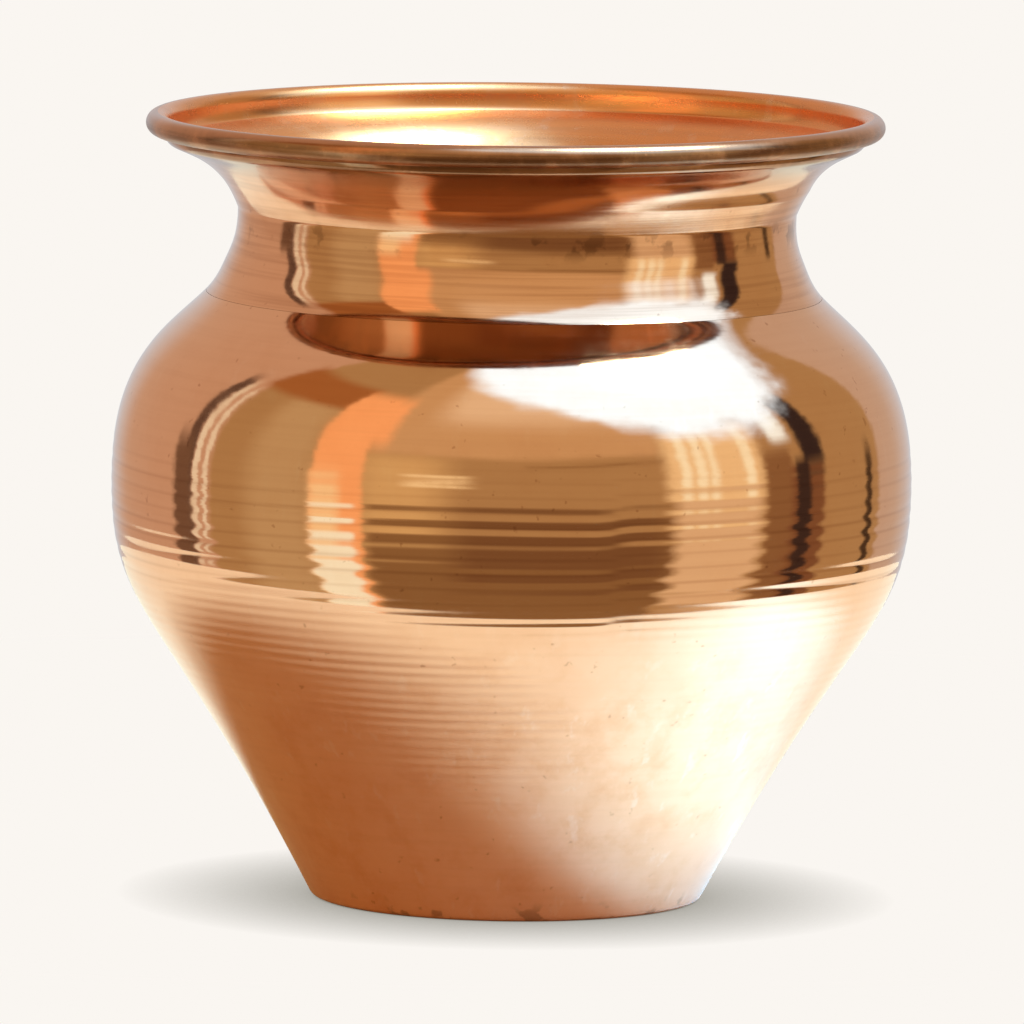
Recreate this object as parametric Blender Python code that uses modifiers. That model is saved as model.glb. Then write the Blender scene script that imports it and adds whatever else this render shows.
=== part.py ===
"""Copper lota: a round-bellied water pot of spun copper sheet with a flared, wired mouth.

Metres, +Z up. The pot stands on Z = 0 and its axis is the Z axis. Every piece is turned: an outline in
the plane of radius and height is spun about Z. Leans are in degrees from the vertical, read going up,
and positive where the outline moves away from the axis.
"""
import math

import bpy
from mathutils import Vector

# Sheet, joints and wire
SHEET = 0.0006
JOINT_GAP = 0.00015
LAP = 0.0032
BRAZE_RISE = 0.0012
WIRE_RADIUS = 0.0006
WIRE_GAP = 0.0002

# Base
BASE_RADIUS = 0.0240
BASE_CORNER = 0.0013
BASE_RISE = 0.0008
STAND_INNER = 0.0205
RISE_EDGE = 0.0180

# Wall from the base to the belly, the widest place
BELLY_RADIUS = 0.0510
BELLY_HEIGHT = 0.0535
WALL_LEAN = 27.7
WALL_LOW_PULL = 0.0424
WALL_TOP_PULL = 0.0179

# Shoulder from the belly to the crease below the neck
NECK_RADIUS = 0.0392
NECK_HEIGHT = 0.0773
SHOULDER_LOW_PULL = 0.0153
SHOULDER_LEAN = -44.7
SHOULDER_TOP_PULL = 0.0070

# Collar from the crease to the throat, the narrowest place
THROAT_RADIUS = 0.0354
THROAT_HEIGHT = 0.0880
COLLAR_LEAN = -42.0
COLLAR_LOW_PULL = 0.0034
THROAT_LEAN = 2.0
COLLAR_TOP_PULL = 0.0044

# Flare from the throat to the lip, and the rolled edge, whose middle lies out from the lip and above it
LIP_RADIUS = 0.0438
LIP_HEIGHT = 0.0963
FLARE_LEAN = 21.0
FLARE_LOW_PULL = 0.0066
LIP_LEAN = 63.5
FLARE_TOP_PULL = 0.0026
BEAD_OUT = 0.0017
BEAD_RISE = 0.00265
LIP_BEND_PULL = 0.0009
ROLL_START = 180.0
ROLL_END = -90.0

# Fineness
TURN_STEPS = 48
BASE_CORNER_STEPS = 3
WALL_STEPS = 11
SHOULDER_STEPS = 9
COLLAR_STEPS = 5
FLARE_STEPS = 6
LIP_BEND_STEPS = 4
ROLL_STEPS = 12
WIRE_STEPS = 8

# Colour, metallic and roughness
FINISHES = {
    "satin_copper": ((0.88, 0.46, 0.27, 1.0), 1.0, 0.32),
    "polished_copper": ((0.88, 0.46, 0.27, 1.0), 1.0, 0.10),
    "copper_wire": ((0.80, 0.42, 0.25, 1.0), 1.0, 0.40),
    "brazing_alloy": ((0.72, 0.52, 0.30, 1.0), 1.0, 0.45),
}


def start_empty():
    """Remove whatever the file opened with."""
    for obj in list(bpy.data.objects):
        bpy.data.objects.remove(obj, do_unlink=True)


def heading(lean):
    """The direction of an outline with a lean."""
    angle = math.radians(lean)
    return Vector((math.sin(angle), math.cos(angle)))


def curve(start, start_lean, start_pull, end, end_lean, end_pull, steps):
    """A cubic curve between two points, leaving and arriving with the given leans."""
    first = start + heading(start_lean) * start_pull
    second = end - heading(end_lean) * end_pull
    points = []
    for step in range(steps + 1):
        t = step / steps
        s = 1.0 - t
        points.append(start * s ** 3 + first * (3 * s * s * t) + second * (3 * s * t * t) + end * t ** 3)
    return points


def arc(centre, radius, start, end, steps):
    """Points on a circle, between two angles in degrees from the outward direction."""
    points = []
    for step in range(steps + 1):
        angle = math.radians(start + (end - start) * step / steps)
        points.append(centre + Vector((math.cos(angle), math.sin(angle))) * radius)
    return points


def left_of(direction):
    """The direction to the left: towards the axis where an outline goes up."""
    return Vector((-direction.y, direction.x))


def offset(points, distance):
    """The outline moved to its left, with its corners kept sharp."""
    sides = [left_of((b - a).normalized()) for a, b in zip(points, points[1:])]
    moved = [points[0] + sides[0] * distance]
    for point, before, after in zip(points[1:], sides, sides[1:]):
        middle = (before + after).normalized()
        moved.append(point + middle * (distance / middle.dot(before)))
    moved.append(points[-1] + sides[-1] * distance)
    return moved


def first_part(points, length):
    """The start of an outline, cut off at a length along it."""
    kept = [points[0]]
    for a, b in zip(points, points[1:]):
        step = (b - a).length
        if step >= length:
            return kept + [a + (b - a) * (length / step)]
        kept.append(b)
        length -= step
    return kept


def drawn_back(points, length):
    """The outline with its last point moved back along it."""
    back = (points[-2] - points[-1]).normalized()
    return points[:-1] + [points[-1] + back * length]


def tongue(upper):
    """The stepped-in edge of a lower piece, which the upper piece's outline covers."""
    covered = first_part(upper, LAP)
    along = (covered[1] - covered[0]).normalized()
    return offset([covered[0] - along * JOINT_GAP] + covered[1:], SHEET + JOINT_GAP)


def wall_outline():
    """Outside of the base and the wall, from the axis to the belly."""
    corner = arc(Vector((BASE_RADIUS, BASE_CORNER)), BASE_CORNER, -90.0, -WALL_LEAN, BASE_CORNER_STEPS)
    belly = Vector((BELLY_RADIUS, BELLY_HEIGHT))
    wall = curve(corner[-1], WALL_LEAN, WALL_LOW_PULL, belly, 0.0, WALL_TOP_PULL, WALL_STEPS)
    underside = [Vector((0.0, BASE_RISE)), Vector((RISE_EDGE, BASE_RISE)), Vector((STAND_INNER, 0.0))]
    return underside + corner + wall[1:]


def shoulder_outline():
    """Outside of the shoulder, from the belly to the neck crease."""
    belly = Vector((BELLY_RADIUS, BELLY_HEIGHT))
    neck = Vector((NECK_RADIUS, NECK_HEIGHT))
    return curve(belly, 0.0, SHOULDER_LOW_PULL, neck, SHOULDER_LEAN, SHOULDER_TOP_PULL, SHOULDER_STEPS)


def collar_outline():
    """Outside of the collar, from the neck crease to the throat."""
    neck = Vector((NECK_RADIUS, NECK_HEIGHT))
    throat = Vector((THROAT_RADIUS, THROAT_HEIGHT))
    return curve(neck, COLLAR_LEAN, COLLAR_LOW_PULL, throat, THROAT_LEAN, COLLAR_TOP_PULL, COLLAR_STEPS)


def bead_centre():
    """Middle of the rolled edge and of the wire in it."""
    return Vector((LIP_RADIUS + BEAD_OUT, LIP_HEIGHT + BEAD_RISE))


def mouth_outline():
    """Underside of the flare and inside of the roll, from the throat to the edge of the sheet."""
    throat = Vector((THROAT_RADIUS, THROAT_HEIGHT))
    lip = Vector((LIP_RADIUS, LIP_HEIGHT))
    roll = arc(bead_centre(), WIRE_RADIUS + WIRE_GAP, ROLL_START, ROLL_END, ROLL_STEPS)
    flare = curve(throat, FLARE_LEAN, FLARE_LOW_PULL, lip, LIP_LEAN, FLARE_TOP_PULL, FLARE_STEPS)
    bend = curve(lip, LIP_LEAN, LIP_BEND_PULL, roll[0], 180.0 - ROLL_START, LIP_BEND_PULL, LIP_BEND_STEPS)
    return flare + bend[1:] + roll[1:]


def finish(name):
    """A metal with one of the named finishes."""
    colour, metallic, roughness = FINISHES[name]
    material = bpy.data.materials.new(name)
    material.use_nodes = True
    shader = material.node_tree.nodes["Principled BSDF"]
    shader.inputs["Base Color"].default_value = colour
    shader.inputs["Metallic"].default_value = metallic
    shader.inputs["Roughness"].default_value = roughness
    material.diffuse_color = colour
    return material


def turned(name, points, edges, material, collection):
    """A piece spun about Z from points of radius and height."""
    mesh = bpy.data.meshes.new(name)
    mesh.from_pydata([(point.x, 0.0, point.y) for point in points], edges, [])
    mesh.materials.append(material)
    piece = bpy.data.objects.new(name, mesh)
    collection.objects.link(piece)
    spin = piece.modifiers.new("spin", "SCREW")
    spin.axis = "Z"
    spin.angle = math.tau
    spin.steps = TURN_STEPS
    spin.render_steps = TURN_STEPS
    spin.use_smooth_shade = True
    spin.use_merge_vertices = True
    spin.merge_threshold = 0.00001
    return piece


def turned_ring(name, points, material, collection):
    """A ring with a closed section, whose points run down its outer side and up its inner side."""
    count = len(points)
    edges = [(index, (index + 1) % count) for index in range(count)]
    return turned(name, points, edges, material, collection)


def turned_sheet(name, outline, material, collection):
    """Sheet with an open middle, its outline on the outer side."""
    return turned_ring(name, outline[::-1] + offset(outline, SHEET), material, collection)


def turned_bowl(name, outline, material, collection):
    """Sheet that closes on the axis, where its outline starts."""
    points = outline[::-1] + offset(outline, SHEET)
    count = len(points)
    on_axis = len(outline) - 1
    edges = [(index, (index + 1) % count) for index in range(count) if index != on_axis]
    return turned(name, points, edges, material, collection)


def turned_braze(name, upper, material, collection):
    """Fillet of brazing alloy inside a lap, between the tongue's edge and the upper piece."""
    covered = first_part(upper, LAP)
    along = (covered[-1] - covered[-2]).normalized()
    inward = left_of(along)
    corner = covered[-1] + inward * (SHEET + JOINT_GAP) + along * JOINT_GAP
    section = [corner + along * BRAZE_RISE, corner, corner + inward * SHEET]
    return turned_ring(name, section, material, collection)


def turned_wire(name, material, collection):
    """Wire inside the rolled edge."""
    section = arc(bead_centre(), WIRE_RADIUS, 90.0, -270.0, WIRE_STEPS)
    return turned_ring(name, section[:-1], material, collection)


def build():
    """Make every piece of the pot."""
    start_empty()
    collection = bpy.data.collections.new("copper_lota")
    bpy.context.scene.collection.children.link(collection)
    polished = finish("polished_copper")
    alloy = finish("brazing_alloy")

    shoulder = shoulder_outline()
    collar = collar_outline()
    bowl = drawn_back(wall_outline(), JOINT_GAP) + tongue(shoulder)
    upper_shell = drawn_back(shoulder, JOINT_GAP) + tongue(collar)
    turned_bowl("base_bowl", bowl, finish("satin_copper"), collection)
    turned_sheet("shoulder_shell", upper_shell, polished, collection)
    turned_sheet("neck_mouth", collar + mouth_outline()[1:], polished, collection)
    turned_wire("rim_wire", finish("copper_wire"), collection)
    turned_braze("belly_braze", shoulder, alloy, collection)
    turned_braze("neck_braze", collar, alloy, collection)


build()
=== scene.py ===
"""Looks of the copper lota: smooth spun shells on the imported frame, their copper, and a studio round them.

Metres, +Z up, the pot's axis on Z. Outlines are in the plane of radius and height, and leans are degrees
from the vertical, positive where an outline moves away from the axis. Azimuths are degrees round the axis
from the camera's side, -Y, positive towards +X.
"""
import math

import bpy
import numpy as np
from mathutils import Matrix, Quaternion, Vector


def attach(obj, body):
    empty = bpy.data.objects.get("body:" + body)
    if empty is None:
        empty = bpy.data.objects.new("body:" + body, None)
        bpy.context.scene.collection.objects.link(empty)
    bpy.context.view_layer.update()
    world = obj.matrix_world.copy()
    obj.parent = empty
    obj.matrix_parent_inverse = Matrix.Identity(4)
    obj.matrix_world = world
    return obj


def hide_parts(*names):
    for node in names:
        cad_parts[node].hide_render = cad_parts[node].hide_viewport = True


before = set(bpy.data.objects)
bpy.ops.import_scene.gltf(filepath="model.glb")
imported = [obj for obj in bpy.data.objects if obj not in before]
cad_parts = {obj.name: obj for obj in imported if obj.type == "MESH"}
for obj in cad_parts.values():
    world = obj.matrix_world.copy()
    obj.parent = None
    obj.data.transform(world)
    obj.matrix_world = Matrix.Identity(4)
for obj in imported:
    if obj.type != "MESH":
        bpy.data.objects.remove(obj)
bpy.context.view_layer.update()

# Sheet, joints and wire, as in the solids
SHEET = 0.0006
JOINT_GAP = 0.00015
LAP = 0.0032
BRAZE_RISE = 0.0012
WIRE_RADIUS = 0.0006
WIRE_GAP = 0.0002

# Outline of the pot, as in the solids
BASE_RADIUS = 0.0240
BASE_CORNER = 0.0013
BASE_RISE = 0.0008
STAND_INNER = 0.0205
RISE_EDGE = 0.0180
BELLY_RADIUS = 0.0510
BELLY_HEIGHT = 0.0535
WALL_LEAN = 27.7
WALL_LOW_PULL = 0.0424
WALL_TOP_PULL = 0.0179
NECK_RADIUS = 0.0392
NECK_HEIGHT = 0.0773
SHOULDER_LOW_PULL = 0.0153
SHOULDER_LEAN = -44.7
SHOULDER_TOP_PULL = 0.0070
THROAT_RADIUS = 0.0354
THROAT_HEIGHT = 0.0880
COLLAR_LEAN = -42.0
COLLAR_LOW_PULL = 0.0034
THROAT_LEAN = 2.0
COLLAR_TOP_PULL = 0.0044
LIP_RADIUS = 0.0438
LIP_HEIGHT = 0.0963
FLARE_LEAN = 21.0
FLARE_LOW_PULL = 0.0066
LIP_LEAN = 63.5
FLARE_TOP_PULL = 0.0026
BEAD_OUT = 0.0017
BEAD_RISE = 0.00265
LIP_BEND_PULL = 0.0009
ROLL_START = 180.0
ROLL_END = -90.0

# Seams as they show, closed up in the finished pot
BELLY_SEAM = 0.000002
NECK_SEAM = 0.00004

# Fineness: steps round the pot, along what shows and what is hidden, and the fewest in a curve or an arc
TURN_STEPS = 180
FINE_STEP = 0.00015
COARSE_STEP = 6 * FINE_STEP
WIRE_STEP = WIRE_RADIUS / 3
LEAST_CURVE_STEPS = 4
LEAST_ARC_STEPS = 6
MERGE_DISTANCE = 0.000001
SMOOTH_ANGLE = 32.0

# How far a face may turn out or in and still count as level, the least radius that is divided by, and how
# far the rolled sheet reaches from the middle of the bead
LEVEL = 0.01
NEAR_AXIS = 0.000001
BEAD_REACH = WIRE_RADIUS + WIRE_GAP + 1.3 * SHEET

# How far the hollow face of a brazing fillet stands out from its corner, as a share of its sides
BRAZE_HOLLOW = 0.36

# Spinning rings: one tool mark winding up the pot, deep round the belly and fine below it. Each start and
# stop gives the two heights between which rings come in or die away. Their depth varies by a share, over a
# number of pitches up the pot and with a number of crests round it.
RING_PITCH = 0.00190
RING_DEPTH = 0.000030
RING_START = (0.0405, 0.0445)
RING_STOP = (0.0550, 0.0610)
FINE_RING_PITCH = 0.00125
FINE_RING_DEPTH = 0.000017
FINE_RING_START = (0.0040, 0.0380)
FINE_RING_STOP = (0.0405, 0.0445)
RING_VARIETY = 0.25
RING_VARIETY_PITCHES = 3.4
RING_VARIETY_CRESTS = 2
# How narrowly the painted shade keeps to the bottoms of the grooves
GROOVE_SHARPNESS = 4

# Jog in the tool mark where the tool was set down again, in radians of its winding, and the azimuths
# between which it comes and slowly goes
RING_JOG = -2.0
JOG_TURNS = (14.0, 16.5)
JOG_BACK_TURNS = (60.0, 175.0)

# Unsteadiness of the tool and the hand: depths, and waves with their crests round the pot and their radians
# for each metre up it. The drift's waves have their size first and their phase last.
DRIFT_WAVES = ((0.5, 3, 90.0, 0.0), (0.4, 5, -140.0, 1.0))
HAND_DEPTH = 0.000006
HAND_WAVES = ((4, 160.0), (2, 230.0))
SIDE_WAVE = (7, -310.0)
SIDE_WAVE_SHARE = 0.6
RIPPLE_DEPTH = 0.000004
RIPPLE_WAVES = ((31, 700.0), (-17, 900.0))

# Larger unevenness of the neck: a soft ring low on the collar, a front that leans out as far up as a bend in
# the flare, and a mouth that lies a little to one side and is a little oval
SWELL = 0.00020
SWELL_HEIGHT = 0.0812
SWELL_SPREAD = 0.0015
NECK_LEAN = 0.00155
NECK_LEAN_TURN = 26.0
NECK_LEAN_SPREAD = 38.0
RIM_LEAN_TURN = -20.0
MOUTH_OVAL = 0.0012
MOUTH_OVAL_TURN = 48.0
NECK_SHIFT = 0.00012
FLARE_BEND = 0.0912

# Camera
CAMERA_PLACE = (0.0, -1.900, 0.2665)
CAMERA_AIM = (0.00013, 0.0, 0.04928)
CAMERA_ROLL = 0.84
CAMERA_LENS = 527.3
CAMERA_REACH = 100.0
SENSOR = 36.0

# Floor and background
PALE = (0.956, 0.921, 0.879)
FLOOR_ALBEDO = (0.90, 0.90, 0.90)
FLOOR_SHADE = (0.22, 0.21, 0.17)
SHADE_REACH = 0.022
SHADE_SAMPLES = 8
FLOOR_RADIUS = 0.180
FLOOR_FADE = 0.006
STAND_FADE = 0.0006
FLOOR_CENTRE = (-0.012, 0.093)

# Lamps: a broad one high on the right, and a cool one whose narrow beam only the floor beside the pot takes
# up. The spread is the full angle of the beam in degrees, and the metal shows a lamp that is mirrored.
LAMPS = {
    "key": {"place": (0.850, -0.060, 1.810), "aim": (0.0, 0.0, 0.0), "size": 0.95, "spread": 180.0,
            "colour": (0.70, 1.0, 0.97), "power": 42.5, "mirrored": True},
    "side": {"place": (0.205, -0.040, 0.280), "aim": (0.068, -0.018, 0.0), "size": 0.05, "spread": 24.0,
             "colour": (0.18, 0.56, 0.95), "power": 0.052, "mirrored": False},
}

# Warm light on the floor from everything but the lamps
AMBIENT = (0.50, 0.265, 0.085)

# Copper and its shades
COPPER = (0.92, 0.52, 0.33)
COPPER_DEEP = (0.80, 0.37, 0.19)
COPPER_DULL = (0.90, 0.49, 0.30)
# Painted reflection: a deeper orange than the copper outside, as copper mirrored in copper looks, for the
# inside of the mouth
COPPER_INSIDE_PAINTED_BOUNCE = (0.95, 0.395, 0.155)
# Darker copper for specks, streaks and the rolled edge's tarnish, and for painted shade in the ring grooves
COPPER_STAIN_AND_SHADE = (0.58, 0.27, 0.15)
# Darker still: dark spots, painted shade on the flare under the rolled edge, and on the edge's lower half
# tarnish with painted shade
COPPER_DARK = (0.25, 0.115, 0.06)
COPPER_PALE = (0.95, 0.64, 0.47)

# Finishes of the sheet: two heights and the colour at each, two heights and the roughness at each, how far
# highlights are drawn out, the strength of streaks and scuffs, and the heights between which dark spots lie.
# Some of the colours carry painted shade and painted reflection, as said at each.
FINISHES_AND_PAINTED_LIGHT = {
    "polished_copper": {
        "tint": (0.060, 0.077, COPPER, COPPER), "gloss": (0.018, 0.046, 0.16, 0.055),
        "stretch": 0.7, "streaked": 0.07, "scuffed": 0.45, "spotted": (0.0, 0.0016)},
    # The flare turns dark towards the rolled edge: painted shade under it
    "neck_copper": {
        "tint": (0.0922, 0.0972, COPPER_DULL, COPPER_DARK), "gloss": (0.080, 0.092, 0.06, 0.12),
        "stretch": 0.7, "streaked": 0.45, "scuffed": 0.0, "spotted": (0.0855, 0.0878)},
    # Inside, the deeper orange is painted reflection of copper in copper
    "inner_copper": {
        "tint": (0.080, 0.090, COPPER_INSIDE_PAINTED_BOUNCE, COPPER_INSIDE_PAINTED_BOUNCE), "gloss": (0.080, 0.090, 0.32, 0.26),
        "stretch": 0.4, "streaked": 0.20, "scuffed": 0.20, "spotted": (0.0, 0.0016)},
    # The rolled edge is dark as tarnish, and darkest on its lower half: there partly tarnish, partly painted
    # shade in the undercut
    "edge_copper": {
        "tint": (0.0989, 0.1003, COPPER_DARK, COPPER_STAIN_AND_SHADE), "gloss": (0.0985, 0.0995, 0.30, 0.22),
        "stretch": 0.3, "streaked": 0.5, "scuffed": 0.0, "spotted": (0.0975, 0.0990)},
}

# Marks on the sheet, made by noise: cells a metre along X, Y and Z, the noise's detail and roughness, and
# its values at which a mark starts and is full
MARKS = {
    "tarnish": {"cells": (55, 55, 55), "detail": 4.0, "roughness": 0.50, "start": 0.45, "full": 0.75},
    "stains": {"cells": (170, 170, 170), "detail": 6.0, "roughness": 0.65, "start": 0.42, "full": 0.72},
    "scuffs": {"cells": (420, 420, 60), "detail": 5.0, "roughness": 0.60, "start": 0.58, "full": 0.70},
    "specks": {"cells": (800, 800, 800), "detail": 2.0, "roughness": 0.50, "start": 0.70, "full": 0.77},
    "spots": {"cells": (300, 300, 300), "detail": 4.0, "roughness": 0.50, "start": 0.55, "full": 0.63},
    "streaks": {"cells": (30, 30, 1500), "detail": 4.0, "roughness": 0.50, "start": 0.40, "full": 0.68},
}

# How strongly the marks colour the sheet, how strongly painted shade darkens the ring grooves, and over what
# height the zone of the dark spots fades
TARNISHED = 0.35
STAINED = 0.55
SPECKLED = 0.60
SPOTTED = 0.65
SPOT_FADE = 0.0015
GROOVE_SHADE = 0.45

# Wear: the roughness from and to, and the wear at each
WEAR = (0.05, 0.15, 0.25, 1.0)

# Brushing round the pot: the cells of its noise, and how much it and the stains change roughness and relief
BRUSH_CELLS = (25, 25, 2600)
BRUSH_DETAIL = 3.0
BRUSH_ROUGHNESS = 0.07
BRUSH_DEPTH = 0.000012
BRUSH_STRENGTH = 0.5
STAIN_ROUGHNESS = 0.6
STAIN_HEIGHT = 0.5
QUARTER_TURN = 0.25

# Middle value of any noise
NOISE_MIDDLE = 0.5

# Wire and brazing alloy, and their unevenness
WIRE_ROUGHNESS = 0.40
ALLOY_PALE = (0.78, 0.58, 0.34)
ALLOY_DARK = (0.56, 0.38, 0.20)
ALLOY_ROUGHNESS = 0.42
UNEVEN_CELLS = 700.0
UNEVEN_NOISE = (0.3, 0.7)
UNEVEN_ROUGHNESS = 0.08

# Panels and strips round the pot that the metal mirrors, one over another: colour, azimuths from and to,
# heights from and to, and how softly the sides and then the ends of each fade, all in degrees
PANELS = (
    # Brown panel in front, with its paler and darker parts
    ((0.45, 0.34, 0.17), -97, 132, -95, 95, 1.5, 4.0),
    ((0.55, 0.47, 0.27), -82, -60, -95, 45, 6.0, 4.0),
    ((0.70, 0.58, 0.29), -46, -20, -8, 18, 9.0, 4.0),
    ((0.64, 0.50, 0.28), -43, 46, 19, 95, 4.0, 1.5),
    ((0.84, 0.80, 0.60), -24, 46, 40, 95, 8.0, 9.0),
    ((0.27, 0.18, 0.08), -42, 48, -95, -8, 2.0, 5.0),
    ((0.20, 0.12, 0.055), -16, 47, -25, -7, 7.0, 5.0),
    ((0.30, 0.20, 0.09), 4, 46, 14.4, 15.6, 2.0, 0.6),
    ((1.00, 1.00, 0.66), -31, -12, 6.4, 9.0, 4.0, 1.3),
    # Darker panel high on the left
    ((0.38, 0.18, 0.06), -100, -57, 40, 56, 3.0, 2.5),
    # Bright strip, orange above and white below
    ((1.03, 0.62, 0.30), -60, -43.5, -45, 52, 1.2, 5.0),
    ((1.03, 0.62, 0.30), -60, -38, 22, 52, 2.5, 6.0),
    ((1.03, 0.95, 0.60), -60, -51, -45, 6, 2.5, 6.0),
    ((1.03, 1.35, 1.30), -60, -46, -45, -9, 1.5, 6.0),
    # Dark strips on the left beside two bright ones
    ((0.13, 0.09, 0.07), -109.5, -105, -18, 40, 0.8, 4.0),
    ((0.18, 0.12, 0.08), -114, -106, -24, 9, 1.5, 6.0),
    ((0.85, 0.95, 0.85), -104.5, -102, -16, 38, 0.5, 4.0),
    ((0.85, 0.95, 0.85), -100, -98, -16, 36, 0.5, 4.0),
    # Bright panel on the right with white strips, and dark strips and a cool one beside it
    ((0.78, 0.70, 0.48), 49, 77, -38, 0, 3.0, 4.0),
    ((0.92, 0.86, 0.54), 46, 78, -1, 30, 3.0, 2.0),
    ((1.05, 1.28, 1.10), 50.5, 53.5, 1, 30, 1.3, 5.0),
    ((1.05, 1.28, 1.10), 55.5, 58.5, 1, 30, 1.3, 5.0),
    ((1.05, 1.28, 1.10), 60, 62.5, 1, 30, 1.3, 5.0),
    ((1.05, 1.28, 1.10), 71.5, 75, 1, 30, 1.3, 5.0),
    ((0.27, 0.17, 0.08), 79, 89, -30, 13, 1.5, 4.0),
    ((0.22, 0.12, 0.06), 88, 102, -30, 6, 1.5, 3.0),
    ((0.05, 0.035, 0.03), 90.5, 96, -26, 8, 1.2, 3.0),
    ((0.04, 0.03, 0.03), 94, 103, 5, 36, 1.5, 4.0),
    ((1.05, 1.60, 2.00), 84, 91, 17, 31, 2.0, 3.0),
    ((0.07, 0.05, 0.03), 124, 127.5, -32, 4, 1.0, 4.0),
)

# Unevenness of the panels' sides: the scale and detail of its noise, and its width in degrees
RAGGED_SCALE = 24.0
RAGGED_DETAIL = 3.0
RAGGED_ANGLE = 3.0

# What lies behind those panels, and where one side goes over into the other and both into the back, as parts
# of the whole way across and along
LEFT_PANEL = (0.60, 0.46, 0.345)
RIGHT_PANEL = (0.58, 0.52, 0.44)
BACK_PANEL = (0.63, 0.66, 0.70)
SIDES_MEET = (-0.3, 0.3)
BACK_MEETS = (0.8, 1.0)

# Soft light above them on the right, whose uneven lower edge rises to both sides, and the panel overhead
SOFT_LIGHT = (1.14, 2.00, 3.05)
LIGHT_MIDDLE = 71.0
LIGHT_HALF_WIDTH = 15.0
LIGHT_EDGE = 25.5
LIGHT_EDGE_SLOPE = 0.56
LIGHT_EDGE_FADE = (-5.0, 8.0)
LIGHT_RAGGED_SCALE = 6.0
LIGHT_RAGGED_DETAIL = 4.0
LIGHT_RAGGED_ANGLE = 16.0
TOP_PANEL = (0.30, 0.19, 0.09)
TOP_EDGE = (82.0, 88.0)


# Outlines

def heading(lean):
    """The direction of an outline with a lean."""
    angle = math.radians(lean)
    return Vector((math.sin(angle), math.cos(angle)))


def curve(start, start_lean, start_pull, end, end_lean, end_pull, step):
    """A cubic curve between two points, leaving and arriving with the given leans."""
    first = start + heading(start_lean) * start_pull
    second = end - heading(end_lean) * end_pull
    count = max(LEAST_CURVE_STEPS, round((end - start).length / step))
    points = []
    for index in range(count + 1):
        t = index / count
        s = 1.0 - t
        points.append(start * s ** 3 + first * (3 * s * s * t) + second * (3 * s * t * t) + end * t ** 3)
    return points


def arc(centre, radius, start, end, step):
    """Points on a circle, between two angles in degrees from the outward direction."""
    sweep = math.radians(end - start)
    count = max(LEAST_ARC_STEPS, round(abs(sweep) * radius / step))
    angles = [math.radians(start) + sweep * index / count for index in range(count + 1)]
    return [centre + Vector((math.cos(angle), math.sin(angle))) * radius for angle in angles]


def left_of(direction):
    """The direction to the left: towards the axis where an outline goes up."""
    return Vector((-direction.y, direction.x))


def offset(points, distance):
    """The outline moved to its left, with its corners kept sharp."""
    sides = [left_of((b - a).normalized()) for a, b in zip(points, points[1:])]
    moved = [points[0] + sides[0] * distance]
    for point, before, after in zip(points[1:], sides, sides[1:]):
        middle = (before + after).normalized()
        moved.append(point + middle * (distance / middle.dot(before)))
    moved.append(points[-1] + sides[-1] * distance)
    return moved


def first_part(points, length):
    """The start of an outline, cut off at a length along it."""
    kept = [points[0]]
    for a, b in zip(points, points[1:]):
        step = (b - a).length
        if step >= length:
            return kept + [a + (b - a) * (length / step)]
        kept.append(b)
        length -= step
    return kept


def drawn_back(points, length):
    """The outline with its last point moved back along it."""
    back = (points[-2] - points[-1]).normalized()
    return points[:-1] + [points[-1] + back * length]


def tongue(upper, seam):
    """The stepped-in edge of a lower piece, which the upper piece's outline covers."""
    covered = first_part(upper, LAP)
    along = (covered[1] - covered[0]).normalized()
    return offset([covered[0] - along * seam] + covered[1:], SHEET + JOINT_GAP)


def wall_outline(step):
    """Outside of the base and the wall, from the axis to the belly."""
    corner = arc(Vector((BASE_RADIUS, BASE_CORNER)), BASE_CORNER, -90.0, -WALL_LEAN, step)
    belly = Vector((BELLY_RADIUS, BELLY_HEIGHT))
    wall = curve(corner[-1], WALL_LEAN, WALL_LOW_PULL, belly, 0.0, WALL_TOP_PULL, step)
    underside = [Vector((0.0, BASE_RISE)), Vector((RISE_EDGE, BASE_RISE)), Vector((STAND_INNER, 0.0))]
    return underside + corner + wall[1:]


def shoulder_outline(step):
    """Outside of the shoulder, from the belly to the neck crease."""
    belly = Vector((BELLY_RADIUS, BELLY_HEIGHT))
    neck = Vector((NECK_RADIUS, NECK_HEIGHT))
    return curve(belly, 0.0, SHOULDER_LOW_PULL, neck, SHOULDER_LEAN, SHOULDER_TOP_PULL, step)


def collar_outline(step):
    """Outside of the collar, from the neck crease to the throat."""
    neck = Vector((NECK_RADIUS, NECK_HEIGHT))
    throat = Vector((THROAT_RADIUS, THROAT_HEIGHT))
    return curve(neck, COLLAR_LEAN, COLLAR_LOW_PULL, throat, THROAT_LEAN, COLLAR_TOP_PULL, step)


def bead_centre():
    """Middle of the rolled edge and of the wire in it."""
    return Vector((LIP_RADIUS + BEAD_OUT, LIP_HEIGHT + BEAD_RISE))


def mouth_outline(step):
    """Underside of the flare and inside of the roll, from the throat to the edge of the sheet."""
    throat = Vector((THROAT_RADIUS, THROAT_HEIGHT))
    lip = Vector((LIP_RADIUS, LIP_HEIGHT))
    roll = arc(bead_centre(), WIRE_RADIUS + WIRE_GAP, ROLL_START, ROLL_END, step)
    flare = curve(throat, FLARE_LEAN, FLARE_LOW_PULL, lip, LIP_LEAN, FLARE_TOP_PULL, step)
    bend = curve(lip, LIP_LEAN, LIP_BEND_PULL, roll[0], 180.0 - ROLL_START, LIP_BEND_PULL, step)
    return flare + bend[1:] + roll[1:]


# Pieces

def rise(values, low, high):
    """0 below low, 1 above high, smooth between."""
    t = np.clip((values - low) / (high - low), 0.0, 1.0)
    return t * t * (3.0 - 2.0 * t)


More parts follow.
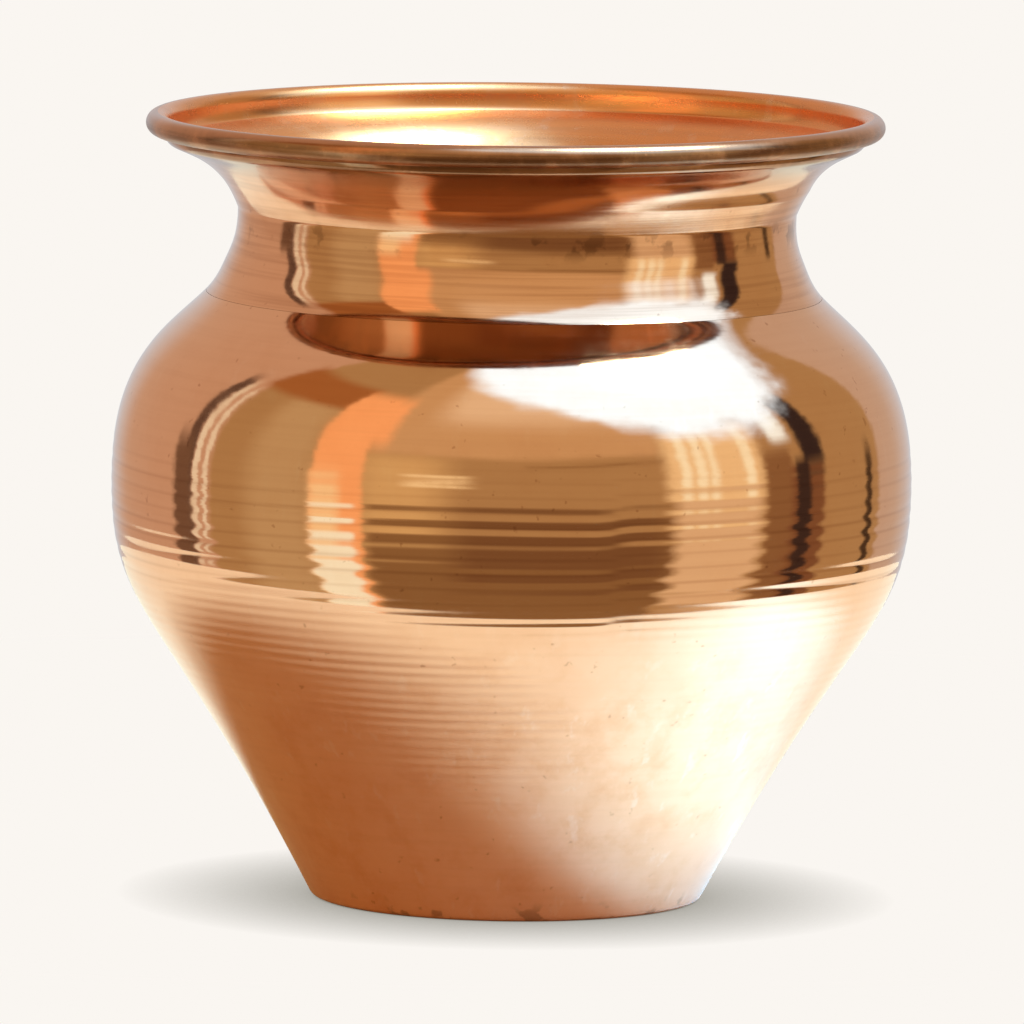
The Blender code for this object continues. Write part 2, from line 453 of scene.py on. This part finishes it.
def fade(height, start, stop):
    """1 between two heights, each given as the ends of its slope."""
    return rise(height, *start) * (1.0 - rise(height, *stop))


def wave(turn, height, crests, climb, phase=0.0):
    """A wave with some crests round the pot, whose phase climbs by some radians a metre."""
    return np.sin(crests * turn + climb * height + phase)


def winding(turn, height):
    """Phase of the tool mark round the pot, with its jog."""
    jog = rise(turn, *np.radians(JOG_TURNS))
    back = rise(turn, *np.radians(JOG_BACK_TURNS))
    drift = sum(size * wave(turn, height, *shape) for size, *shape in DRIFT_WAVES)
    return drift - turn + RING_JOG * (jog - back)


def relief(turn, height):
    """How far the surface lies off the true outline, and how deep in a groove each place is, from 0 to 1."""
    phase = winding(turn, height)
    ring = np.sin(math.tau * height / RING_PITCH + phase)
    fine = np.sin(math.tau * height / FINE_RING_PITCH + phase)
    variety = np.sin(math.tau * height / (RING_VARIETY_PITCHES * RING_PITCH) + RING_VARIETY_CRESTS * turn)
    varied = 1.0 - RING_VARIETY + RING_VARIETY * variety
    belly = fade(height, RING_START, RING_STOP) * varied
    wall = fade(height, FINE_RING_START, FINE_RING_STOP) * varied
    hand = math.prod(wave(turn, height, *shape) for shape in HAND_WAVES)
    hand = hand + SIDE_WAVE_SHARE * wave(turn, height, *SIDE_WAVE)
    ripple = math.prod(wave(turn, height, *shape) for shape in RIPPLE_WAVES)
    depth = RING_DEPTH * belly * (ring - 1.0) + FINE_RING_DEPTH * wall * (fine - 1.0)
    depth = depth + HAND_DEPTH * (hand - (1.0 + SIDE_WAVE_SHARE)) + RIPPLE_DEPTH * (ripple - 1.0)
    groove = belly * np.clip(-ring, 0.0, 1.0) ** GROOVE_SHARPNESS
    return depth, groove


def sway(turn, height):
    """How far the neck lies out from a true round: both sides of the sheet move together."""
    swell = SWELL * np.exp(-0.5 * ((height - SWELL_HEIGHT) / SWELL_SPREAD) ** 2)
    furthest = np.interp(height, (FLARE_BEND, LIP_HEIGHT), (NECK_LEAN_TURN, RIM_LEAN_TURN))
    aside = (np.degrees(turn) - furthest) / NECK_LEAN_SPREAD
    leaning = np.interp(height, (NECK_HEIGHT, FLARE_BEND), (0.0, 1.0))
    lean = (NECK_LEAN * np.exp(-0.5 * aside ** 2) + NECK_SHIFT * np.sin(turn)) * leaning
    oval = MOUTH_OVAL * np.cos(2.0 * (turn - math.radians(MOUTH_OVAL_TURN)))
    return swell + lean - oval * rise(height, THROAT_HEIGHT, LIP_HEIGHT)


def spun_mesh(name, points, edges):
    """A mesh spun about Z from points of radius and height."""
    profile = bpy.data.meshes.new(name + ".profile")
    profile.from_pydata([(point.x, 0.0, point.y) for point in points], edges, [])
    piece = bpy.data.objects.new(name, profile)
    bpy.context.collection.objects.link(piece)
    spin = piece.modifiers.new("spin", "SCREW")
    spin.axis = "Z"
    spin.angle = math.tau
    spin.steps = TURN_STEPS
    spin.render_steps = TURN_STEPS
    spin.use_merge_vertices = True
    spin.merge_threshold = MERGE_DISTANCE
    graph = bpy.context.evaluated_depsgraph_get()
    mesh = bpy.data.meshes.new_from_object(piece.evaluated_get(graph))
    piece.modifiers.clear()
    piece.data = mesh
    bpy.data.meshes.remove(profile)
    return piece


def worked(piece):
    """Press the spinning rings and unevenness into a piece, and keep how deep in a groove each place is, for
    the painted shade in the grooves.
    """
    mesh = piece.data
    count = len(mesh.vertices)
    places = np.empty(count * 3, dtype=np.float32)
    mesh.vertices.foreach_get("co", places)
    places = places.reshape(-1, 3).astype(np.float64)
    turn = np.arctan2(places[:, 0], -places[:, 1])
    height = places[:, 2].copy()
    depth, groove = relief(turn, height)
    outward = np.stack([np.sin(turn), -np.cos(turn), np.zeros(count)], axis=1)
    places += outward * (depth + sway(turn, height))[:, None]
    mesh.vertices.foreach_set("co", places.astype(np.float32).ravel())
    kept = mesh.attributes.new("groove", "FLOAT", "POINT")
    kept.data.foreach_set("value", groove.astype(np.float32))
    mesh.update()


def dress(piece, outside, inside, bead):
    """Give the sides of a sheet, and the outer half of its rolled edge, their own finish, painted shade and
    painted reflection included.
    """
    mesh = piece.data
    for material in (outside, inside, bead):
        mesh.materials.append(material)
    count = len(mesh.polygons)
    middles = np.empty(count * 3, dtype=np.float32)
    normals = np.empty(count * 3, dtype=np.float32)
    mesh.polygons.foreach_get("center", middles)
    mesh.polygons.foreach_get("normal", normals)
    middles = middles.reshape(-1, 3)
    normals = normals.reshape(-1, 3)
    radius = np.hypot(middles[:, 0], middles[:, 1])
    outward = (normals[:, 0] * middles[:, 0] + normals[:, 1] * middles[:, 1]) / np.maximum(radius, NEAR_AXIS)
    faces_in = (outward < -LEVEL) | ((np.abs(outward) <= LEVEL) & (normals[:, 2] > 0.0))
    centre = bead_centre()
    from_bead = np.hypot(radius - centre.x, middles[:, 2] - centre.y)
    on_bead = (from_bead < BEAD_REACH) & (radius > centre.x)
    finish = np.where(on_bead, 2, np.where(faces_in, 1, 0))
    mesh.polygons.foreach_set("material_index", finish.astype(np.int32))


def finished(piece, node):
    """Shade a piece and set it in the frame in place of its node."""
    piece.data.shade_smooth()
    piece.data.set_sharp_from_angle(angle=math.radians(SMOOTH_ANGLE))
    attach(piece, "root")
    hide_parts(node)


def closed(points):
    """The edges of a closed section."""
    count = len(points)
    return [(index, (index + 1) % count) for index in range(count)]


def spun_sheet(node, outline, inner, finishes):
    """Sheet with its outline on the outer side. The inner side lies off its own drawing of the outline."""
    points = outline[::-1] + offset(inner, SHEET)
    edges = closed(points)
    if outline[0].x == 0.0:
        edges.remove((len(outline) - 1, len(outline)))
    piece = spun_mesh("spun_" + node, points, edges)
    dress(piece, *finishes)
    worked(piece)
    finished(piece, node)


def spun_wire(node, material):
    """Wire inside the rolled edge."""
    section = arc(bead_centre(), WIRE_RADIUS, 90.0, -270.0, WIRE_STEP)
    piece = spun_mesh("drawn_" + node, section[:-1], closed(section[:-1]))
    piece.data.materials.append(material)
    worked(piece)
    finished(piece, node)


def spun_braze(node, upper, material):
    """Fillet of brazing alloy inside a lap, with a hollow face."""
    covered = first_part(upper, LAP)
    along = (covered[-1] - covered[-2]).normalized()
    inward = left_of(along)
    corner = covered[-1] + inward * (SHEET + JOINT_GAP) + along * JOINT_GAP
    top = corner + along * BRAZE_RISE
    foot = corner + inward * SHEET
    hollow = corner + (along * BRAZE_RISE + inward * SHEET) * BRAZE_HOLLOW
    section = [top, corner, foot, hollow]
    piece = spun_mesh("flowed_" + node, section, closed(section))
    piece.data.materials.append(material)
    worked(piece)
    finished(piece, node)


# Materials

class Nodes:
    """Short ways to add and link shader nodes."""

    def __init__(self, tree):
        self.tree = tree

    def add(self, kind, **settings):
        """A node, with its settings."""
        node = self.tree.nodes.new(kind)
        for name, value in settings.items():
            setattr(node, name, value)
        return node

    def feed(self, socket, value):
        """Link a socket to an output, or set it to a value."""
        if isinstance(value, bpy.types.NodeSocket):
            self.tree.links.new(value, socket)
        else:
            socket.default_value = value

    def math(self, operation, a, b=0.0, c=0.0):
        """The result of a math node."""
        node = self.add("ShaderNodeMath", operation=operation)
        for socket, value in zip(node.inputs, (a, b, c)):
            self.feed(socket, value)
        return node.outputs[0]

    def ramp(self, value, low, high, to_low=0.0, to_high=1.0):
        """A value carried smoothly from one range to another, and held beyond it."""
        node = self.add("ShaderNodeMapRange", interpolation_type="SMOOTHSTEP")
        for socket, entry in zip(node.inputs, (value, low, high, to_low, to_high)):
            self.feed(socket, entry)
        return node.outputs[0]

    def between(self, value, low, high, soft):
        """1 between two values, falling off over a width."""
        up = self.ramp(value, low - soft, low + soft)
        down = self.ramp(value, high - soft, high + soft, 1.0, 0.0)
        return self.math("MULTIPLY", up, down)

    def mix(self, factor, a, b):
        """A colour between two."""
        node = self.add("ShaderNodeMix", data_type="RGBA")
        self.feed(node.inputs[0], factor)
        for socket, value in zip(node.inputs[6:8], (a, b)):
            self.feed(socket, (*value, 1.0) if isinstance(value, tuple) else value)
        return node.outputs[2]

    def shaders(self, factor, a, b):
        """A shader between two."""
        node = self.add("ShaderNodeMixShader")
        for socket, value in zip(node.inputs, (factor, a.outputs[0], b.outputs[0])):
            self.feed(socket, value)
        return node

    def noise(self, place, scale, detail=4.0, roughness=0.5):
        """Noise at a place."""
        node = self.add("ShaderNodeTexNoise")
        self.feed(node.inputs["Vector"], place)
        node.inputs["Scale"].default_value = scale
        node.inputs["Detail"].default_value = detail
        node.inputs["Roughness"].default_value = roughness
        return node.outputs["Fac"]

    def stretched(self, place, scale):
        """A place scaled differently along each axis."""
        node = self.add("ShaderNodeVectorMath", operation="MULTIPLY")
        self.feed(node.inputs[0], place)
        node.inputs[1].default_value = scale
        return node.outputs[0]

    def mark(self, place, cells, detail, roughness, start, full):
        """How strong a mark is at a place, from 0 to 1."""
        return self.ramp(self.noise(self.stretched(place, cells), 1.0, detail, roughness), start, full)

    def length(self, place):
        """The distance of a place from the middle."""
        node = self.add("ShaderNodeVectorMath", operation="LENGTH")
        self.feed(node.inputs[0], place)
        return node.outputs["Value"]


def new_material(name):
    """A node material, short ways to add to it, and its shader."""
    material = bpy.data.materials.new(name)
    material.use_nodes = True
    nodes = Nodes(material.node_tree)
    shader = material.node_tree.nodes["Principled BSDF"]
    return material, nodes, shader


def marked(nodes, colour, height, marks, wear, streaked, scuffed, spotted):
    """A colour with the marks of making and use laid over it, and painted shade in the ring grooves."""
    spots = nodes.math("MULTIPLY", marks["spots"], nodes.between(height, *spotted, SPOT_FADE))
    groove = nodes.add("ShaderNodeAttribute", attribute_name="groove").outputs["Fac"]
    layers = (
        (nodes.math("MULTIPLY", marks["tarnish"], wear), TARNISHED, COPPER_DEEP),
        (nodes.math("MULTIPLY", marks["stains"], wear), STAINED, COPPER_DEEP),
        (nodes.math("MULTIPLY", marks["scuffs"], wear), scuffed, COPPER_PALE),
        (marks["specks"], SPECKLED, COPPER_STAIN_AND_SHADE),
        (spots, SPOTTED, COPPER_DARK),
        # Painted shade: the bottoms of the ring grooves darkened
        (groove, GROOVE_SHADE, COPPER_STAIN_AND_SHADE),
        (marks["streaks"], streaked, COPPER_STAIN_AND_SHADE),
    )
    for layer, amount, shade in layers:
        colour = nodes.mix(nodes.math("MULTIPLY", layer, amount), colour, shade)
    return colour


def copper_sheet(name, tint, gloss, stretch, streaked, scuffed, spotted):
    """Spun copper whose colour and roughness change up the pot, and whose rougher parts are more worn; the
    colour holds painted shade in places.
    """
    material, nodes, shader = new_material(name)
    place = nodes.add("ShaderNodeTexCoord").outputs["Object"]
    axes = nodes.add("ShaderNodeSeparateXYZ")
    nodes.feed(axes.inputs[0], place)
    height = axes.outputs["Z"]
    rough = nodes.ramp(height, *gloss)
    wear = nodes.ramp(rough, *WEAR)
    marks = {kind: nodes.mark(place, **settings) for kind, settings in MARKS.items()}
    stains = marks["stains"]
    brushing = nodes.noise(nodes.stretched(place, BRUSH_CELLS), 1.0, BRUSH_DETAIL)
    low, high, low_tint, high_tint = tint
    colour = nodes.mix(nodes.ramp(height, low, high), low_tint, high_tint)
    colour = marked(nodes, colour, height, marks, wear, streaked, scuffed, spotted)
    nodes.feed(shader.inputs["Base Color"], colour)
    shader.inputs["Metallic"].default_value = 1.0
    grain = nodes.math("MULTIPLY_ADD", stains, STAIN_ROUGHNESS, brushing)
    grain = nodes.math("SUBTRACT", grain, NOISE_MIDDLE)
    nodes.feed(shader.inputs["Roughness"], nodes.math("MULTIPLY_ADD", grain, BRUSH_ROUGHNESS, rough))
    shader.inputs["Anisotropic"].default_value = stretch
    shader.inputs["Anisotropic Rotation"].default_value = QUARTER_TURN
    tangent = nodes.add("ShaderNodeTangent", direction_type="RADIAL", axis="Z")
    nodes.feed(shader.inputs["Tangent"], tangent.outputs[0])
    bump = nodes.add("ShaderNodeBump")
    nodes.feed(bump.inputs["Strength"], nodes.math("MULTIPLY", wear, BRUSH_STRENGTH))
    bump.inputs["Distance"].default_value = BRUSH_DEPTH
    nodes.feed(bump.inputs["Height"], nodes.math("MULTIPLY_ADD", stains, STAIN_HEIGHT, brushing))
    nodes.feed(shader.inputs["Normal"], bump.outputs[0])
    return material


def plain_metal(name, light, dark, roughness):
    """Drawn or flowed metal, uneven in colour and gloss."""
    material, nodes, shader = new_material(name)
    place = nodes.add("ShaderNodeTexCoord").outputs["Object"]
    uneven = nodes.noise(place, UNEVEN_CELLS)
    nodes.feed(shader.inputs["Base Color"], nodes.mix(uneven, light, dark))
    roughness_range = (roughness - UNEVEN_ROUGHNESS, roughness + UNEVEN_ROUGHNESS)
    nodes.feed(shader.inputs["Roughness"], nodes.ramp(uneven, *UNEVEN_NOISE, *roughness_range))
    shader.inputs["Metallic"].default_value = 1.0
    return material


# Studio

def pale_floor():
    """A round floor that fades out at its edge, and isn't seen from below or under the pot.

    The camera sees the background's colour, shaded near the pot, and the metal mirrors a matt floor.
    """
    material = bpy.data.materials.new("pale_floor")
    material.use_nodes = True
    tree = material.node_tree
    tree.nodes.clear()
    nodes = Nodes(tree)
    from_middle = nodes.length(nodes.add("ShaderNodeTexCoord").outputs["Object"])
    inside = nodes.ramp(from_middle, FLOOR_RADIUS - FLOOR_FADE, FLOOR_RADIUS, 1.0, 0.0)
    surface = nodes.add("ShaderNodeNewGeometry")
    from_axis = nodes.length(surface.outputs["Position"])
    beside = nodes.ramp(from_axis, BASE_RADIUS - STAND_FADE, BASE_RADIUS)
    above = nodes.math("SUBTRACT", 1.0, surface.outputs["Backfacing"])
    shown = nodes.math("MULTIPLY", inside, nodes.math("MULTIPLY", above, beside))
    matt = nodes.add("ShaderNodeBsdfDiffuse")
    matt.inputs["Color"].default_value = (*FLOOR_ALBEDO, 1.0)
    open_sky = nodes.add("ShaderNodeAmbientOcclusion", samples=SHADE_SAMPLES)
    open_sky.inputs["Distance"].default_value = SHADE_REACH
    backdrop = nodes.add("ShaderNodeEmission")
    nodes.feed(backdrop.inputs["Color"], nodes.mix(open_sky.outputs["AO"], FLOOR_SHADE, PALE))
    seen = nodes.add("ShaderNodeLightPath").outputs["Is Camera Ray"]
    lifted = nodes.shaders(seen, matt, backdrop)
    mixed = nodes.shaders(shown, nodes.add("ShaderNodeBsdfTransparent"), lifted)
    output = nodes.add("ShaderNodeOutputMaterial")
    nodes.feed(output.inputs["Surface"], mixed.outputs[0])
    return material


def build_floor():
    """The sheet that carries the floor."""
    mesh = bpy.data.meshes.new("floor")
    reach = FLOOR_RADIUS
    corners = [(-reach, -reach, 0.0), (reach, -reach, 0.0), (reach, reach, 0.0), (-reach, reach, 0.0)]
    mesh.from_pydata(corners, [], [(0, 1, 2, 3)])
    mesh.materials.append(pale_floor())
    floor = bpy.data.objects.new("floor", mesh)
    floor.location = (*FLOOR_CENTRE, 0.0)
    bpy.context.collection.objects.link(floor)


def build_lamp(name, place, aim, size, spread, colour, power, mirrored):
    """A round lamp at a place, which shines towards another."""
    data = bpy.data.lights.new(name, "AREA")
    data.shape = "DISK"
    data.size = size
    data.spread = math.radians(spread)
    data.color = colour
    data.energy = power
    lamp = bpy.data.objects.new(name, data)
    lamp.location = place
    lamp.rotation_mode = "QUATERNION"
    lamp.rotation_quaternion = (Vector(aim) - Vector(place)).to_track_quat("-Z", "Y")
    lamp.visible_glossy = mirrored
    bpy.context.collection.objects.link(lamp)


def build_world():
    """The background for the camera, and for everything else what the metal mirrors."""
    world = bpy.data.worlds.new("studio")
    world.use_nodes = True
    bpy.context.scene.world = world
    tree = world.node_tree
    tree.nodes.clear()
    nodes = Nodes(tree)
    way = nodes.add("ShaderNodeTexCoord").outputs["Generated"]
    direction = nodes.add("ShaderNodeSeparateXYZ")
    nodes.feed(direction.inputs[0], way)
    across, along, up = direction.outputs
    towards = nodes.math("MULTIPLY", along, -1.0)
    azimuth = nodes.math("DEGREES", nodes.math("ARCTAN2", across, towards))
    height = nodes.math("DEGREES", nodes.math("ARCSINE", up))
    ragged = nodes.math("SUBTRACT", nodes.noise(way, RAGGED_SCALE, RAGGED_DETAIL), NOISE_MIDDLE)
    azimuth = nodes.math("MULTIPLY_ADD", ragged, RAGGED_ANGLE, azimuth)

    def panel(under, colour, left, right, low, high, soft, soft_up):
        """The surroundings with a panel of colour between two azimuths and two heights."""
        wide = nodes.between(azimuth, left, right, soft)
        tall = nodes.between(height, low, high, soft_up)
        return nodes.mix(nodes.math("MULTIPLY", wide, tall), under, colour)

    around = nodes.mix(nodes.ramp(across, *SIDES_MEET), LEFT_PANEL, RIGHT_PANEL)
    around = nodes.mix(nodes.ramp(along, *BACK_MEETS), around, BACK_PANEL)
    for entry in PANELS:
        around = panel(around, *entry)
    # The soft light, whose lower edge is lowest in the middle and uneven
    aside = nodes.math("ABSOLUTE", nodes.math("SUBTRACT", azimuth, LIGHT_MIDDLE))
    aside = nodes.math("MAXIMUM", nodes.math("SUBTRACT", aside, LIGHT_HALF_WIDTH), 0.0)
    edge = nodes.math("MULTIPLY_ADD", aside, LIGHT_EDGE_SLOPE, LIGHT_EDGE)
    uneven = nodes.math("SUBTRACT", nodes.noise(way, LIGHT_RAGGED_SCALE, LIGHT_RAGGED_DETAIL), NOISE_MIDDLE)
    edge = nodes.math("MULTIPLY_ADD", uneven, LIGHT_RAGGED_ANGLE, edge)
    lit = nodes.ramp(nodes.math("SUBTRACT", height, edge), *LIGHT_EDGE_FADE)
    around = nodes.mix(lit, around, SOFT_LIGHT)
    around = nodes.mix(nodes.ramp(height, *TOP_EDGE), around, TOP_PANEL)

    path = nodes.add("ShaderNodeLightPath")
    shown = nodes.mix(path.outputs["Is Diffuse Ray"], around, AMBIENT)
    shown = nodes.mix(path.outputs["Is Camera Ray"], shown, PALE)
    background = nodes.add("ShaderNodeBackground")
    nodes.feed(background.inputs["Color"], shown)
    output = nodes.add("ShaderNodeOutputWorld")
    nodes.feed(output.inputs["Surface"], background.outputs[0])


def build_camera():
    """The photograph's view."""
    data = bpy.data.cameras.new("camera")
    data.lens = CAMERA_LENS
    data.sensor_width = SENSOR
    data.clip_end = CAMERA_REACH
    camera = bpy.data.objects.new("camera", data)
    camera.location = CAMERA_PLACE
    aim = Vector(CAMERA_AIM) - Vector(CAMERA_PLACE)
    roll = Quaternion((0, 0, 1), math.radians(CAMERA_ROLL))
    camera.rotation_mode = "QUATERNION"
    camera.rotation_quaternion = aim.to_track_quat("-Z", "Y") @ roll
    bpy.context.collection.objects.link(camera)
    bpy.context.scene.camera = camera


def build_pot():
    """Every piece of the pot."""
    shoulder = shoulder_outline(FINE_STEP)
    collar = collar_outline(FINE_STEP)
    plain_shoulder = shoulder_outline(COARSE_STEP)
    plain_collar = collar_outline(COARSE_STEP)
    bowl = drawn_back(wall_outline(FINE_STEP), BELLY_SEAM) + tongue(plain_shoulder, BELLY_SEAM)
    plain_bowl = drawn_back(wall_outline(COARSE_STEP), BELLY_SEAM) + tongue(plain_shoulder, BELLY_SEAM)
    shell = drawn_back(shoulder, NECK_SEAM) + tongue(plain_collar, NECK_SEAM)
    plain_shell = drawn_back(plain_shoulder, NECK_SEAM) + tongue(plain_collar, NECK_SEAM)
    mouth = collar + mouth_outline(FINE_STEP)[1:]
    outside, neck, inside, edge = [copper_sheet(name, **finish) for name, finish in FINISHES_AND_PAINTED_LIGHT.items()]
    alloy = plain_metal("brazing_alloy", ALLOY_PALE, ALLOY_DARK, ALLOY_ROUGHNESS)
    body = (outside, inside, edge)
    spun_sheet("base_bowl", bowl, plain_bowl, body)
    spun_sheet("shoulder_shell", shell, plain_shell, body)
    spun_sheet("neck_mouth", mouth, mouth, (neck, inside, edge))
    spun_wire("rim_wire", plain_metal("copper_wire", COPPER, COPPER_DEEP, WIRE_ROUGHNESS))
    spun_braze("belly_braze", plain_shoulder, alloy)
    spun_braze("neck_braze", plain_collar, alloy)


build_camera()
build_floor()
for lamp_name, settings in LAMPS.items():
    build_lamp(lamp_name, **settings)
build_world()
build_pot()

bpy.context.scene.view_settings.view_transform = "Standard"
